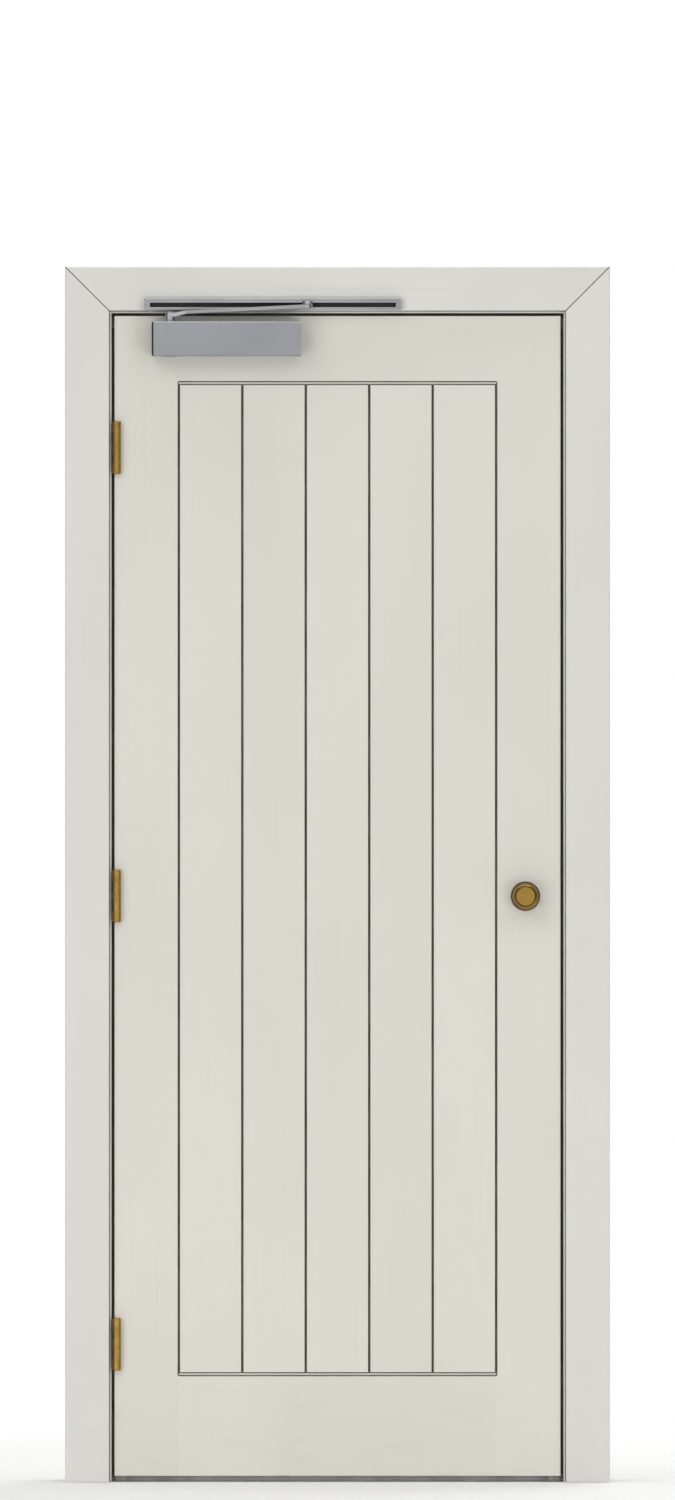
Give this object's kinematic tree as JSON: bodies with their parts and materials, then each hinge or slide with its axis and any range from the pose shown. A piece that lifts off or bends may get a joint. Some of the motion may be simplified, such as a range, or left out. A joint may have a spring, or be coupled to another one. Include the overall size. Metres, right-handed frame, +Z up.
{
  "type": "interior door",
  "caption": "Boarded interior door leaf hung in a timber lining with mitred architraves, with a round knob and latch, butt hinges and an overhead closer with a slide track.",
  "frame": {"origin": "on the wall-side face of the hinge jamb, at floor level, in the middle of the lining's depth", "axes": "+Z up, +X from the hinge side to the lock side, -Y the pull side, towards which the leaf opens; -X is the outward normal of the face that goes against the wall"},
  "size_m": [0.93, 0.201, 2.075],
  "materials": {
    "painted_frame": "satin off-white paint on timber",
    "painted_leaf": "satin warm off-white paint on timber",
    "brass": "satin brass",
    "closer_silver": "silver enamel",
    "track_silver": "satin anodised",
    "dark_cap": "matt",
    "threshold_grey": "dark grey, brushed",
    "plain_steel": "bare"
  },
  "bodies": {
    "frame": {"hinge_jamb": "painted_frame", "lock_jamb": "painted_frame", "head_lining": "painted_frame", "hinge_side_stop": "painted_frame", "lock_side_stop": "painted_frame", "head_stop": "painted_frame", "threshold_strip": "threshold_grey", "front_architrave_hinge_side": "painted_frame", "front_architrave_lock_side": "painted_frame", "front_architrave_head": "painted_frame", "back_architrave_hinge_side": "painted_frame", "back_architrave_lock_side": "painted_frame", "back_architrave_head": "painted_frame", "lower_hinge_frame_leaf": "brass", "middle_hinge_frame_leaf": "brass", "upper_hinge_frame_leaf": "brass", "hinge_pins": "brass", "strike_plate": "brass", "closer_track": "track_silver"},
    "leaf": {"hinge_stile": "painted_leaf", "lock_stile": "painted_leaf", "top_rail": "painted_leaf", "bottom_rail": "painted_leaf", "panel_board_1": "painted_leaf", "panel_board_2": "painted_leaf", "panel_board_3": "painted_leaf", "panel_board_4": "painted_leaf", "panel_board_5": "painted_leaf", "lower_hinge_door_leaf": "brass", "middle_hinge_door_leaf": "brass", "upper_hinge_door_leaf": "brass", "latch_faceplate": "brass", "front_rose": "brass", "back_rose": "brass", "closer_body": "closer_silver", "closer_end_cap": "dark_cap"},
    "closer_arm": {"closer_arm": "track_silver", "closer_spindle": "track_silver"},
    "closer_slider": {"closer_slider": "track_silver"},
    "knob": {"front_knob": "brass", "back_knob": "brass", "knob_spindle": "plain_steel"},
    "latch_bolt": {"latch_bolt": "brass"}
  },
  "joints": [
    {"name": "leaf_swing", "type": "hinge", "parent": "frame", "child": "leaf", "pos_m": [0.041, -0.0735, 0], "axis": [0, 0, -1], "range_deg": [0, 110], "stiffness_Nm_per_rad": 6, "springref_deg": -114.59},
    {"name": "arm_swing", "type": "hinge", "parent": "leaf", "child": "closer_arm", "pos_m": [0.132, -0.097, 1.9895], "axis": [0, 0, 1], "range_deg": [0, 123.25]},
    {"name": "slider_travel", "type": "slide", "parent": "frame", "child": "closer_slider", "axis": [-1, 0, 0], "range_m": [0, 0.14885]},
    {"name": "knob_turn", "type": "hinge", "parent": "leaf", "child": "knob", "pos_m": [0.739, -0.044, 1], "axis": [0, 1, 0], "range_deg": [0, 60]},
    {"name": "latch_throw", "type": "slide", "parent": "leaf", "child": "latch_bolt", "axis": [1, 0, 0], "range_m": [0, 0.012]}
  ],
  "couplings": [
    {"joint": "arm_swing", "follows": "leaf_swing", "ratio": 1.1204},
    {"joint": "slider_travel", "follows": "leaf_swing", "m_per_rad": 0.07753},
    {"joint": "latch_throw", "follows": "knob_turn", "m_per_rad": 0.011459}
  ]
}
